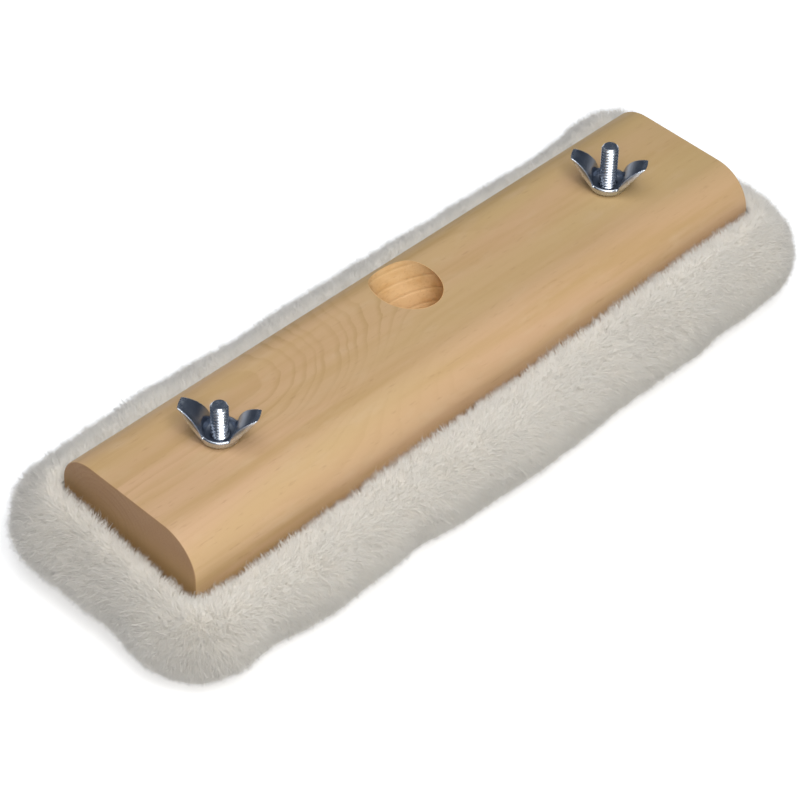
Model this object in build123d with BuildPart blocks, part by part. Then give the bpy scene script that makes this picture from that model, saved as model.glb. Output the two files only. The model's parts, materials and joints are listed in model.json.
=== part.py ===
from build123d import *
import os
from math import cos, sin, radians

# Lambswool applicator head: a wood block bolted to a fleece pad with two wing nuts.
# Millimetres. X runs along the block, Y across it, Z up.
# The origin is the bottom centre of the pad, on the floor.

# wood block: 10 3/4 x 2 5/8 x 1 1/16 in
block_length = 273.0
block_width = 66.0
block_thickness = 27.0
block_edge_radius = 15.0
block_arris_radius = 1.2
bolt_hole_radius = 3.6

# handle socket: a blind hole for a 15/16 in handle, leaning across the block
socket_radius = 11.9
socket_depth = 20.5
socket_lean_deg = 36.0
socket_x = 4.0
socket_y = 12.5

# pad, from the floor up
pad_length = 320.0
pad_width = 112.0
pad_height = 30.0
pad_corner_radius = 27.0
pad_bottom_roll = 11.0
pad_top_roll = 12.0
sole_thickness = 11.0
core_thickness = 9.0
board_thickness = 4.0
cloth_thickness = 1.0
binding_thickness = 1.2
inner_length = 286.0
inner_width = 78.0
inner_corner_radius = 8.0
board_length = 280.0
board_width = 72.0
binding_margin = 5.0
binding_corner_radius = 3.0
mouth_gap = 2.5
mouth_corner_radius = 5.0

# 1/4 in carriage bolts, 2 in long under the head
bolt_spacing = 190.5
bolt_radius = 3.175
bolt_length = 50.8
bolt_tip_chamfer = 0.8
head_radius = 7.5
head_height = 3.7
head_dome_radius = (head_radius**2 + head_height**2) / (2 * head_height)
neck_width = 6.5
neck_length = 3.6
neck_hole_width = neck_width + 0.2
head_room = 0.5
near_bolt_drop = 4.0

# 1/4 in wing nuts
nut_bore_radius = bolt_radius + 0.05
hub_radius = 7.2
hub_base_radius = 5.4
hub_base_height = 2.2
bowl_start = 0.2
hub_height = 3.6
hub_edge = 0.4
underside_slope = 1.5
dish_radius = 6.1
dish_floor = 1.7
wing_span = 31.0
wing_tip_radius = 3.3
wing_thickness = 2.6
wing_root = (5.6, 1.2)
wing_start_deg = 86.0
wing_turn_deg = 80.0
wing_radius = 11.3
near_wing_angle = -57.0
far_wing_angle = -58.0

# brass eyelets, sunk in the canvas
eyelet_radius = 6.0
eyelet_barrel_radius = 4.4
eyelet_hole_radius = 3.5
eyelet_flange = 0.45

lay_gap = 0.1
seat_gap = 0.05

core_bottom = sole_thickness
board_bottom = core_bottom + core_thickness
cloth_bottom = board_bottom + board_thickness
cloth_top = cloth_bottom + cloth_thickness
block_bottom = cloth_top + lay_gap
block_top = block_bottom + block_thickness

# each bolt: its name, its place along the block and how far it hangs below the board
bolts = [
    ("near", -bolt_spacing / 2, near_bolt_drop),
    ("far", bolt_spacing / 2, 0.0),
]
wing_angles = {"near": near_wing_angle, "far": far_wing_angle}


def finish(builder, name):
    """Label a finished piece and write it under its own name."""
    builder.part.label = name
    export_step(builder.part, f"parts/{name}.step")


def level(height, x=0.0):
    """A horizontal plane at a height, centred over a point of the long axis."""
    return Plane(origin=(x, 0, height), z_dir=(0, 0, 1))


def make_wood_block():
    lean = radians(socket_lean_deg)
    outward = (0, sin(lean), cos(lean))
    mouth = Plane(origin=(socket_x, socket_y, block_top), x_dir=(1, 0, 0), z_dir=outward)
    socket_floor = mouth.offset(-socket_depth)
    end_face = Plane(origin=(-block_length / 2, 0, block_bottom), x_dir=(0, 1, 0), z_dir=(1, 0, 0))
    with BuildPart() as block:
        with BuildSketch(end_face) as section:
            Rectangle(block_width, block_thickness, align=(Align.CENTER, Align.MIN))
            fillet(section.vertices().group_by(Axis.Y)[-1], block_edge_radius)
            fillet(section.vertices().group_by(Axis.Y)[0], block_arris_radius)
        extrude(amount=block_length)
        ends = block.faces().filter_by(Axis.X)
        fillet(ends.edges(), block_arris_radius / 2)
        with BuildSketch(socket_floor):
            Circle(socket_radius)
        extrude(amount=socket_depth + block_thickness, mode=Mode.SUBTRACT)
        with BuildSketch(level(block_bottom)):
            with Locations(*[(x, 0) for _, x, _ in bolts]):
                Circle(bolt_hole_radius)
        extrude(amount=block_thickness, mode=Mode.SUBTRACT)
    finish(block, "wood_block")


def make_carriage_bolt(name, x, drop):
    under_head = board_bottom - drop
    side_view = Plane(origin=(x, 0, under_head), x_dir=(1, 0, 0), z_dir=(0, -1, 0))
    with BuildPart() as bolt:
        with BuildSketch(side_view):
            with BuildLine():
                Line((0, 0), (0, -head_height))
                RadiusArc((0, -head_height), (head_radius, 0), -head_dome_radius)
                Line((head_radius, 0), (0, 0))
            make_face()
        revolve(axis=Axis((x, 0, 0), (0, 0, 1)))
        with BuildSketch(level(under_head, x)):
            Rectangle(neck_width, neck_width)
        extrude(amount=neck_length)
        with BuildSketch(level(under_head, x)):
            Circle(bolt_radius)
        extrude(amount=bolt_length)
        tip = bolt.faces().sort_by(Axis.Z)[-1]
        chamfer(tip.edges(), bolt_tip_chamfer)
    finish(bolt, f"carriage_bolt_{name}")


def bowl_outline(*above):
    """Draws half of the nut's side view: its flat base, its rounded bowl and the points above."""
    base = Line((0, 0), (hub_base_radius, 0))
    bowl = TangentArc(base @ 1, (hub_radius, hub_base_height), tangent=(1, bowl_start))
    Polyline(bowl @ 1, *above, (0, 0))


def make_wing_nut(name, x):
    angle = radians(wing_angles[name])
    along = (cos(angle), sin(angle), 0)
    seat = Plane(origin=(x, 0, block_top + seat_gap), x_dir=along, z_dir=(0, 0, 1))
    side_view = Plane(origin=seat.origin, x_dir=along, z_dir=(sin(angle), -cos(angle), 0))
    axis = Axis(seat.origin, (0, 0, 1))
    start = radians(wing_start_deg)
    with BuildPart() as wings:
        with BuildSketch(side_view):
            with BuildLine():
                rise = JernArc(wing_root, (cos(start), sin(start)), wing_radius, -wing_turn_deg)
                offset(rise, amount=wing_thickness / 2)
            make_face()
            mirror(about=Plane.YZ)
        extrude(amount=hub_radius, both=True)
        tip = wing_span / 2 - wing_tip_radius
        with BuildSketch(seat):
            Circle(hub_radius)
            with Locations((-tip, 0), (tip, 0)):
                Circle(wing_tip_radius)
            make_hull()
        extrude(amount=wing_span, mode=Mode.INTERSECT)
        with BuildSketch(side_view):
            with BuildLine():
                bowl_outline(
                    (wing_span, hub_base_height + underside_slope * (wing_span - hub_radius)),
                    (0, 2 * wing_span),
                )
            make_face()
        revolve(axis=axis, mode=Mode.INTERSECT)
    with BuildPart() as nut:
        with BuildSketch(side_view):
            with BuildLine():
                bowl_outline(
                    (hub_radius, hub_height - hub_edge),
                    (hub_radius - hub_edge, hub_height),
                    (0, hub_height),
                )
            make_face()
        revolve(axis=axis)
        add(wings.part)
        with BuildSketch(side_view):
            with BuildLine():
                Polyline(
                    (0, -hub_edge),
                    (nut_bore_radius, -hub_edge),
                    (nut_bore_radius, dish_floor),
                    (dish_radius - 2 * hub_edge, dish_floor + hub_edge),
                    (dish_radius, hub_height),
                    (dish_radius, wing_span),
                    (0, wing_span),
                    close=True,
                )
            make_face()
        revolve(axis=axis, mode=Mode.SUBTRACT)
    finish(nut, f"wing_nut_{name}")


def make_fleece_cover():
    with BuildPart() as fleece:
        with BuildSketch():
            RectangleRounded(pad_length, pad_width, pad_corner_radius)
        extrude(amount=pad_height)
        fillet(fleece.edges().group_by(Axis.Z)[0], pad_bottom_roll)
        fillet(fleece.edges().group_by(Axis.Z)[-1], pad_top_roll)
        with BuildSketch(level(core_bottom)):
            RectangleRounded(inner_length, inner_width, inner_corner_radius)
        extrude(amount=cloth_top + binding_thickness - core_bottom, mode=Mode.SUBTRACT)
        with BuildSketch(level(cloth_top)):
            RectangleRounded(
                block_length + 2 * mouth_gap, block_width + 2 * mouth_gap, mouth_corner_radius
            )
        extrude(amount=pad_height, mode=Mode.SUBTRACT)
    finish(fleece, "fleece_cover")


def make_felt_core():
    with BuildPart() as core:
        with BuildSketch(level(core_bottom)):
            RectangleRounded(inner_length, inner_width, inner_corner_radius)
        extrude(amount=core_thickness)
        for _, x, drop in bolts:
            pocket = drop + head_height + head_room
            with BuildSketch(level(board_bottom, x)):
                Circle(head_radius + head_room)
            extrude(amount=-pocket, mode=Mode.SUBTRACT)
    finish(core, "felt_core")


def make_backing_board():
    with BuildPart() as board:
        with BuildSketch(level(board_bottom)):
            RectangleRounded(board_length, board_width, inner_corner_radius)
            with Locations(*[(x, 0) for _, x, _ in bolts]):
                Rectangle(neck_hole_width, neck_hole_width, mode=Mode.SUBTRACT)
        extrude(amount=board_thickness)
    finish(board, "backing_board")


def make_top_cloth():
    with BuildPart() as cloth:
        with BuildSketch(level(cloth_bottom)):
            RectangleRounded(inner_length, inner_width, inner_corner_radius)
            with Locations(*[(x, 0) for _, x, _ in bolts]):
                Circle(eyelet_barrel_radius, mode=Mode.SUBTRACT)
        extrude(amount=cloth_thickness)
        with BuildSketch(level(cloth_top)):
            with Locations(*[(x, 0) for _, x, _ in bolts]):
                Circle(eyelet_radius)
        extrude(amount=-eyelet_flange, mode=Mode.SUBTRACT)
    finish(cloth, "top_cloth")


def make_edge_binding():
    with BuildPart() as binding:
        with BuildSketch(level(cloth_top)):
            RectangleRounded(inner_length, inner_width, inner_corner_radius)
            RectangleRounded(
                inner_length - 2 * binding_margin,
                inner_width - 2 * binding_margin,
                binding_corner_radius,
                mode=Mode.SUBTRACT,
            )
        extrude(amount=binding_thickness)
    finish(binding, "edge_binding")


def make_eyelet(name, x):
    with BuildPart() as eyelet:
        with BuildSketch(level(cloth_bottom, x)):
            Circle(eyelet_barrel_radius)
        extrude(amount=cloth_thickness)
        with BuildSketch(level(cloth_top, x)):
            Circle(eyelet_radius)
        extrude(amount=-eyelet_flange)
        with BuildSketch(level(cloth_bottom, x)):
            Circle(eyelet_hole_radius)
        extrude(amount=cloth_thickness, mode=Mode.SUBTRACT)
    finish(eyelet, f"eyelet_{name}")


os.makedirs("parts", exist_ok=True)
make_wood_block()
make_fleece_cover()
make_felt_core()
make_backing_board()
make_top_cloth()
make_edge_binding()
for bolt_name, bolt_x, bolt_drop in bolts:
    make_carriage_bolt(bolt_name, bolt_x, bolt_drop)
    make_wing_nut(bolt_name, bolt_x)
    make_eyelet(bolt_name, bolt_x)
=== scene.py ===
import json
from itertools import product
from math import cos, pi, radians, sin, sqrt

import bmesh
import bpy
import numpy as np
from mathutils import Matrix, Vector
from mathutils.kdtree import KDTree


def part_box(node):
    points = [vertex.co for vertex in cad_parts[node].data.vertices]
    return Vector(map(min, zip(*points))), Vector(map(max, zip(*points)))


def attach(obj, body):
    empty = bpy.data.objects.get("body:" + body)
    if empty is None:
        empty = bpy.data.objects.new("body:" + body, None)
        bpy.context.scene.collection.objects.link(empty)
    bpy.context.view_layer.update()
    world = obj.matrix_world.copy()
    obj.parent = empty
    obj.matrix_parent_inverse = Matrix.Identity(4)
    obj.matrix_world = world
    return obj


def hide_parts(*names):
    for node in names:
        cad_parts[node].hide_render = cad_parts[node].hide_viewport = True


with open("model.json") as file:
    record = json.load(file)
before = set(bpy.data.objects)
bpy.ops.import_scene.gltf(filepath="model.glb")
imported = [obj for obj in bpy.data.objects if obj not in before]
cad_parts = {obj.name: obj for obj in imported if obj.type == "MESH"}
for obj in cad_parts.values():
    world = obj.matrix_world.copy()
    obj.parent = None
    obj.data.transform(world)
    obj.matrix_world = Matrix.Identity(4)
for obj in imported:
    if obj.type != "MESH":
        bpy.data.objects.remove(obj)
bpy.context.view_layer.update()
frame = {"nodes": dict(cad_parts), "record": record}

# Lambswool applicator head: a hardwood block bolted to a fleece pad with two wing nuts.
# Metres, Z up, in the CAD frame.
MM = 0.001
ENDS = ("near", "far")

# camera
CAMERA_AZIMUTH = -45.59
CAMERA_ELEVATION = 43.09
CAMERA_ROLL = 1.27
CAMERA_DISTANCE = 1071.7 * MM
CAMERA_CLIP = (0.05, 20.0)
CAMERA_AIM = Vector((-39.44 * MM, -28.7 * MM, 52.1 * MM))
SENSOR = 36.0
LENS = 142.96

# wood block
EDGE_RADIUS = 15 * MM
EDGE_STEPS = 30
ARRIS_RADIUS = 1.2 * MM
ARRIS_STEPS = 6
END_ARRIS = 0.6 * MM
END_ARRIS_STEPS = 4
BOLT_HOLE_RADIUS = 3.6 * MM
BOLT_HOLE_STEPS = 48
SOCKET_DEPTH = 20.5 * MM
SOCKET_PITCH = 5.08 * MM
SOCKET_GROOVE = 0.13 * MM
SOCKET_GROOVE_SHARE = 0.34
SOCKET_START = 0.55
SOCKET_FADE = 2.0 * MM
SOCKET_ABOVE = 14 * MM
SOCKET_STEPS = 96
SOCKET_ROWS_PER_TURN = 22

# bolts and nuts
BOLT_RADIUS = 3.175 * MM
THREAD_PITCH = 1.27 * MM
THREAD_DEPTH = 0.62 * MM
TIP_CHAMFER = 0.8 * MM
HEAD_HEIGHT = 3.7 * MM
HEAD_RADIUS = 7.5 * MM
HEAD_EDGE = 0.2 * MM
HEAD_ROWS = 18
HEAD_STEPS = 64
NECK_WIDTH = 6.5 * MM
NECK_LENGTH = 3.6 * MM
NECK_EDGE = 0.3 * MM
HEAD_POLE = 0.02 * MM
NUT_BORE_RADIUS = 3.225 * MM
HUB_BASE_HEIGHT = 2.2 * MM
UNDERSIDE_SLOPE = 1.5
# radii over which the painted shade and dark reflection inside a nut fade out, and fade in off the stud
NUT_PAINTED_SHADE = (5.4 * MM, 6.3 * MM)
OFF_STUD = (3.3 * MM, 3.5 * MM)
NUT_VOXEL = 0.21 * MM
NUT_SMOOTHING = 7
THREAD_STEPS = 56
THREAD_ROWS_PER_TURN = 14
NUT_THREAD_GAP = 0.02 * MM
NUT_THREAD_DEPTH = 0.45 * MM
NUT_THREAD_BELOW = 0.4 * MM
NUT_THREAD_ABOVE = 2.6 * MM
NUT_THREAD_ROWS_PER_TURN = 12

# pad: each ring round it is this rectangle grown outwards, with its corners rounded
FAN_HALF_X = 133.5 * MM
FAN_HALF_Y = 30 * MM
# distance out from that rectangle and height, in millimetres, from the pocket to the sole
FLEECE_PROFILE = [
    (9.4, 11.0),
    (9.4, 26.4),
    (6.4, 26.5),
    (6.0, 27.0),
    (7.2, 27.5),
    (9.5, 27.5),
    (12.5, 26.8),
    (15.5, 25.2),
    (18.0, 22.6),
    (19.8, 19.4),
    (20.6, 15.8),
    (20.6, 12.0),
    (19.6, 8.4),
    (17.6, 5.4),
    (14.8, 3.4),
    (11.0, 2.5),
    (6.0, 2.3),
    (1.0, 2.3),
]
POCKET_ROWS = 3
FLEECE_SPACING = 2.2 * MM
FLEECE_CORNER_STEPS = 18
SOLE_HEIGHT = 2.3 * MM
LOWEST_BODY = 2 * MM
# height and size of the lumps, and the seed of their noise
LUMPS = [((2.3 * MM, 31 * MM), 5), ((1.1 * MM, 13 * MM), 6)]
LUMPS_START = 7 * MM
LUMPS_RANGE = 7 * MM
COLLAR_START = 9.5 * MM
COLLAR_RANGE = 12 * MM
PILE_RISE_MOST = 8.5

# wool fibres
PILE_COUNT = 150000
FUZZ_COUNT = 540000
UNDER_COUNT = 12000
LOCK_COUNT = 15000
PILE_TONES = 17
PILE_LENGTH = 7.0 * MM
PILE_WIDTH = 0.16 * MM
PILE_TAPER = 0.6
NEAR_BLOCK = 8 * MM
NEAR_BLOCK_LENGTH = 0.55
BLOCK_CLEARANCE = 0.35 * MM
LOWEST_FIBRE = 0.3 * MM
LOCK_LEAN = 0.15
FIBRE_LEAN = 0.18
LOCK_PULL = (0.03, 0.2)
FUZZ_PULL = 0.4
# how much the pile's length swells, and the size of each swell
PILE_SWELL = (0.2, 17 * MM)
PILE_DROOP = 0.06
PILE_BOW = 0.14
PILE_CURL = 0.07
CURL_TURN = 7
SIDE_SHORTENING = 0.5
# painted shade on the pad's lower, downward-facing fibres, most on its -Y side
SIDE_SHADE = 0.17

# felt, canvas and binding
INNER_CORNER = 8 * MM
# distance out in millimetres and share of the thickness
FELT_PROFILE = [
    (1.0, 0.0),
    (6.6, 0.0),
    (7.6, 0.12),
    (7.95, 0.4),
    (7.9, 0.75),
    (7.3, 0.95),
    (6.4, 1.0),
    (1.0, 1.0),
]
CANVAS_SPACING = MM
CANVAS_THICKNESS = 0.8 * MM
CANVAS_SAG = 0.16 * MM
EYELET_OPENING = 4.7 * MM
EYELET_STEPS = 64
# radius and height above the canvas's underside, in millimetres
EYELET_PROFILE = [
    (3.5, 0.0),
    (3.5, 0.75),
    (3.75, 0.98),
    (4.4, 1.05),
    (5.3, 1.0),
    (5.85, 0.8),
    (6.0, 0.6),
    (5.8, 0.56),
    (4.6, 0.56),
    (4.4, 0.4),
    (4.4, 0.0),
]
# distance out and height above the canvas, in millimetres
BINDING_PROFILE = [(8.0, 0.02), (8.0, 0.7), (7.5, 1.1), (5.5, 1.0), (3.5, 1.1), (3.05, 0.7), (3.0, 0.02)]
STITCH_PITCH = 3.4 * MM
STITCH_LINE = 5.5 * MM
STITCH_HALF = 1.15 * MM
STITCH_RADIUS = 0.28 * MM

# wood grain
RING_SPACING = 2.1 * MM
RING_WANDER = 12 * MM
RING_RIPPLE = 1.1 * MM
SEASON_SCALE = 190.0
SEASON_TURNS = 2.6
PITH_Y = 22.5 * MM
PITH_Z = 33.4 * MM
PITH_SLANT = -0.035
PITH_DROP = 22.5 * MM
PITH_DROP_SPAN = (-75 * MM, 0.0)
PITH_CLIMB = 6 * MM
PITH_CLIMB_SPAN = (20 * MM, 150 * MM)
RINGS_FADE_ASIDE = (9 * MM, 24 * MM)
RINGS_FADE_ALONG = (-20 * MM, 30 * MM)
# heights over which painted bounce light from the wool fades out up the end faces
END_PAINTED_BOUNCE_HEIGHT = (30 * MM, 46 * MM)
DRILLED_EDGE = (0.05 * MM, 0.3 * MM)

# colours
WOOD_PALE = (0.525, 0.365, 0.175)
WOOD_ROSY = (0.56, 0.36, 0.205)
WOOD_STREAK = (0.46, 0.30, 0.12)
WOOD_MOTTLE = (0.57, 0.40, 0.24)
LATE_WOOD = (0.41, 0.26, 0.10)
WOOD_FLECK = (0.34, 0.20, 0.085)
END_GRAIN = (0.295, 0.165, 0.077)
END_RING = (0.21, 0.11, 0.047)
END_PORE = (0.20, 0.105, 0.05)
# painted bounce light on the lower part of the end faces
END_PAINTED_BOUNCE = (0.47, 0.29, 0.115)
# painted light for the socket's wall, lighter and more orange than the block's faces
SOCKET_PAINTED_LIGHT_PALE = (0.70, 0.46, 0.225)
SOCKET_PAINTED_LIGHT_DARK = (0.62, 0.38, 0.16)
DRILLED_PORE = (0.40, 0.19, 0.07)
ZINC_DULL = (0.56, 0.61, 0.68)
ZINC_BRIGHT = (0.67, 0.71, 0.77)
# painted shade and dark reflection for the inside of each wing nut
ZINC_PAINTED_SHADE = (0.15, 0.18, 0.24)
BRASS = (0.78, 0.56, 0.23)
BRASS_DULL = (0.55, 0.36, 0.13)
BOARD_DARK = (0.16, 0.085, 0.04)
BOARD_LIGHT = (0.30, 0.17, 0.08)
BOARD_CLOUD = (0.22, 0.12, 0.055)
FELT_DARK = (0.42, 0.40, 0.36)
FELT_LIGHT = (0.62, 0.60, 0.55)
FELT_CLOUD = (0.5, 0.47, 0.40)
CANVAS = ((0.66, 0.60, 0.48), (0.56, 0.50, 0.38))
TAPE = ((0.74, 0.70, 0.60), (0.64, 0.60, 0.50))
THREAD = ((0.80, 0.78, 0.72), (0.68, 0.66, 0.60))
WOOL = (0.85, 0.818, 0.757)
WOOL_DARKEST = 0.78
WOOL_YELLOWED = (0.66, 0.64, 0.54)
FLOOR = (0.93, 0.93, 0.93)
FLOOR_GLOW = 0.35
SKY = (0.24, 0.29, 0.38)
SKY_STRENGTH = 0.3

# lights: name, place, aim, size, watts and colour
LIGHTS = [
    ("softbox", (-0.1, -0.1, 1.3), (0.0, 0.0, 0.0), (1.2, 1.2), 10.2),
    ("key", (-0.2, -0.65, 1.15), (0.0, 0.0, 0.03), (0.3, 0.3), 3.2),
    ("front_panel", (-0.8, -1.0, 1.15), (0.0, 0.0, 0.03), (1.0, 0.8), 12.5, (1.0, 0.985, 0.97)),
    ("side_panel", (0.2, -1.15, 0.5), (0.0, 0.0, 0.03), (0.8, 0.6), 0.9, (1.0, 0.95, 0.72)),
]


def material(name):
    """A new node material, its node tree and its Principled node."""
    made = bpy.data.materials.new(name)
    made.use_nodes = True
    tree = made.node_tree
    shader = next(n for n in tree.nodes if n.type == "BSDF_PRINCIPLED")
    return made, tree, shader


def node(tree, kind, inputs=None, **settings):
    """A node of that kind with its settings, and its inputs given as sockets or numbers."""
    made = tree.nodes.new(kind)
    for key, value in settings.items():
        setattr(made, key, value)
    for key, value in (inputs or {}).items():
        if isinstance(value, bpy.types.NodeSocket):
            tree.links.new(value, made.inputs[key])
        else:
            made.inputs[key].default_value = value
    return made


def maths(tree, operation, first, second=0.0, third=0.0):
    """The output of a Math node."""
    inputs = {0: first, 1: second, 2: third}
    return node(tree, "ShaderNodeMath", inputs, operation=operation).outputs[0]


def mix_colour(tree, share, first, second):
    """The output of a colour Mix node."""
    made = node(tree, "ShaderNodeMix", data_type="RGBA")
    for socket, value in ((made.inputs[0], share), (made.inputs[6], first), (made.inputs[7], second)):
        if isinstance(value, bpy.types.NodeSocket):
            tree.links.new(value, socket)
        elif isinstance(value, tuple):
            socket.default_value = (*value, 1.0)
        else:
            socket.default_value = value
    return made.outputs[2]


def spread_out(tree, value, low, high, to_low=0.0, to_high=1.0):
    """A value mapped smoothly from one range to another, and held inside it."""
    return node(
        tree,
        "ShaderNodeMapRange",
        {0: value, 1: low, 2: high, 3: to_low, 4: to_high},
        interpolation_type="SMOOTHSTEP",
        clamp=True,
    ).outputs[0]


def object_place(tree):
    """Object coordinates in metres."""
    return node(tree, "ShaderNodeTexCoord").outputs["Object"]


def stretched(tree, scale, offset=(0.0, 0.0, 0.0)):
    """Object coordinates in metres, scaled."""
    inputs = {"Vector": object_place(tree), "Scale": scale, "Location": offset}
    return node(tree, "ShaderNodeMapping", inputs).outputs[0]


def split(tree, vector):
    """The three parts of a vector."""
    return node(tree, "ShaderNodeSeparateXYZ", {0: vector}).outputs


def combined(tree, *parts):
    """A vector of the given parts."""
    return node(tree, "ShaderNodeCombineXYZ", dict(enumerate(parts))).outputs[0]


def vector_maths(tree, operation, first, second=(0.0, 0.0, 0.0)):
    """The vector output of a Vector Math node."""
    return node(tree, "ShaderNodeVectorMath", {0: first, 1: second}, operation=operation).outputs[0]


def length_of(tree, vector):
    """The length of a vector."""
    return node(tree, "ShaderNodeVectorMath", {0: vector}, operation="LENGTH").outputs["Value"]


def noise(tree, vector, scale=1.0, detail=2.0, roughness=0.5, distortion=0.0):
    """The value of a Noise Texture."""
    return node(
        tree,
        "ShaderNodeTexNoise",
        {
            "Vector": vector,
            "Scale": scale,
            "Detail": detail,
            "Roughness": roughness,
            "Distortion": distortion,
        },
    ).outputs["Fac"]


def bump(tree, shader, height, distance, strength=1.0):
    """A Bump node on the shader's normal."""
    made = node(tree, "ShaderNodeBump", {"Height": height, "Distance": distance, "Strength": strength})
    tree.links.new(made.outputs[0], shader.inputs["Normal"])


def socket_mount():
    """The record's mount for the handle socket."""
    return next(m for m in frame["record"]["mounts"] if m["name"] == "handle_socket")


def late_wood(tree):
    """How much late wood is at a place, 0 to 1. The pith drops away from the top face between the
    near nut and the socket, so the rings meet that face at a slant and show as arcs. They fade
    out away from the arcs."""
    x, y, z = split(tree, object_place(tree))
    wander = noise(tree, stretched(tree, (9, 30, 30)), detail=2)
    ripple = noise(tree, stretched(tree, (45, 240, 240)), detail=3)
    drop = spread_out(tree, x, *PITH_DROP_SPAN, 0.0, PITH_DROP)
    climb = spread_out(tree, x, *PITH_CLIMB_SPAN, 0.0, PITH_CLIMB)
    height = maths(tree, "ADD", z, maths(tree, "SUBTRACT", drop, climb))
    height = maths(tree, "SUBTRACT", height, PITH_Z)
    across = maths(tree, "MULTIPLY_ADD", x, PITH_SLANT, y)
    across = maths(tree, "MULTIPLY_ADD", wander, RING_WANDER, across)
    across = maths(tree, "SUBTRACT", across, PITH_Y)
    radius = length_of(tree, combined(tree, 0.0, across, height))
    radius = maths(tree, "MULTIPLY_ADD", ripple, RING_RIPPLE, radius)
    season = noise(tree, combined(tree, maths(tree, "MULTIPLY", radius, SEASON_SCALE)), detail=2)
    turns = maths(tree, "MULTIPLY", radius, 1 / RING_SPACING)
    turns = maths(tree, "MULTIPLY_ADD", season, SEASON_TURNS, turns)
    year = maths(tree, "FRACT", turns)
    darkening = spread_out(tree, year, 0.45, 0.93)
    winter = spread_out(tree, year, 0.93, 1.0, 1.0, 0.0)
    patches = noise(tree, stretched(tree, (14, 42, 42), (3, 1, 0)))
    ring = maths(tree, "MULTIPLY", darkening, winter)
    ring = maths(tree, "MULTIPLY", ring, spread_out(tree, patches, 0.36, 0.62, 0.3, 1.0))
    aside = spread_out(tree, maths(tree, "ABSOLUTE", across), *RINGS_FADE_ASIDE, 1.0, 0.22)
    beyond = spread_out(tree, x, *RINGS_FADE_ALONG, 1.0, 0.3)
    return maths(tree, "MULTIPLY", ring, maths(tree, "MULTIPLY", aside, beyond))


def inside_socket(tree):
    """1 on the wall of the handle socket and 0 elsewhere."""
    mount = socket_mount()
    bore = mount["dims"]["r_mm"] * MM
    offset = vector_maths(tree, "SUBTRACT", object_place(tree), mount["pos_m"])
    away = length_of(tree, vector_maths(tree, "CROSS_PRODUCT", offset, mount["axis"]))
    return spread_out(tree, away, *[bore + edge for edge in DRILLED_EDGE], 1.0, 0.0)


def wood_material():
    made, tree, shader = material("birch")
    ring = late_wood(tree)
    streak = noise(tree, stretched(tree, (7, 95, 95), (1.7, 0, 0)), detail=4, roughness=0.6)
    broad = noise(tree, stretched(tree, (5, 26, 26), (0.4, 2, 0)), detail=2)
    fleck = noise(tree, stretched(tree, (150, 900, 900)), detail=2, roughness=0.6)
    mottle = noise(tree, stretched(tree, (60, 170, 170), (5, 0, 3)), detail=3, roughness=0.6)
    pores = noise(tree, stretched(tree, (300, 1500, 1500)), detail=2, roughness=0.7)

    colour = mix_colour(tree, spread_out(tree, broad, 0.36, 0.64), WOOD_PALE, WOOD_ROSY)
    colour = mix_colour(tree, spread_out(tree, streak, 0.42, 0.74, 0, 0.7), colour, WOOD_STREAK)
    colour = mix_colour(tree, spread_out(tree, mottle, 0.5, 0.8, 0, 0.5), colour, WOOD_MOTTLE)
    colour = mix_colour(tree, maths(tree, "MULTIPLY", ring, 0.6), colour, LATE_WOOD)
    colour = mix_colour(tree, spread_out(tree, fleck, 0.6, 0.78, 0, 0.3), colour, WOOD_FLECK)

    normal_x = split(tree, node(tree, "ShaderNodeNewGeometry").outputs["Normal"])[0]
    end = spread_out(tree, maths(tree, "ABSOLUTE", normal_x), 0.55, 0.85)
    height = split(tree, object_place(tree))[2]
    grain = mix_colour(tree, maths(tree, "MULTIPLY", ring, 0.5), END_GRAIN, END_RING)
    grain = mix_colour(tree, spread_out(tree, pores, 0.45, 0.8, 0, 0.6), grain, END_PORE)
    # painted bounce light from the wool: the end faces turn lighter and more orange towards their bottom
    grain = mix_colour(tree, spread_out(tree, height, *END_PAINTED_BOUNCE_HEIGHT, 0.6, 0.0), grain, END_PAINTED_BOUNCE)
    colour = mix_colour(tree, end, colour, grain)

    # the socket's wall: painted light, lighter and more orange than the block's faces, with the wood's
    # mottle and pores on it
    socket_painted_light = mix_colour(tree, spread_out(tree, mottle, 0.35, 0.7), SOCKET_PAINTED_LIGHT_PALE, SOCKET_PAINTED_LIGHT_DARK)
    socket_painted_light = mix_colour(tree, spread_out(tree, pores, 0.5, 0.8, 0, 0.35), socket_painted_light, DRILLED_PORE)
    colour = mix_colour(tree, inside_socket(tree), colour, socket_painted_light)
    tree.links.new(colour, shader.inputs["Base Color"])

    rough = spread_out(tree, streak, 0.3, 0.8, 0.52, 0.66)
    tree.links.new(rough, shader.inputs["Roughness"])
    shader.inputs["Specular IOR Level"].default_value = 0.32
    relief = maths(tree, "MULTIPLY_ADD", fleck, -0.6, maths(tree, "MULTIPLY", ring, -0.25))
    bump(tree, shader, relief, 0.06 * MM)
    return made


def nut_painted_shade_mask(tree):
    """1 inside the hub of a wing nut and on the inner faces of its wings, and 0 elsewhere. It masks
    painted shade and dark reflection.
    """
    nut_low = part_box("wing_nut_far")[0]
    stud = sum(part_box("carriage_bolt_far"), Vector()) / 2
    x, y, z = split(tree, object_place(tree))
    aside = maths(tree, "SUBTRACT", maths(tree, "ABSOLUTE", x), stud.x)
    radius = length_of(tree, combined(tree, aside, y))
    rise = maths(tree, "MAXIMUM", maths(tree, "SUBTRACT", z, nut_low.z + HUB_BASE_HEIGHT), 0.0)
    inward = maths(tree, "MULTIPLY_ADD", rise, -1 / UNDERSIDE_SLOPE, radius)
    off_stud = spread_out(tree, radius, *OFF_STUD)
    return maths(tree, "MULTIPLY", spread_out(tree, inward, *NUT_PAINTED_SHADE, 1.0, 0.0), off_stud)


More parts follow.
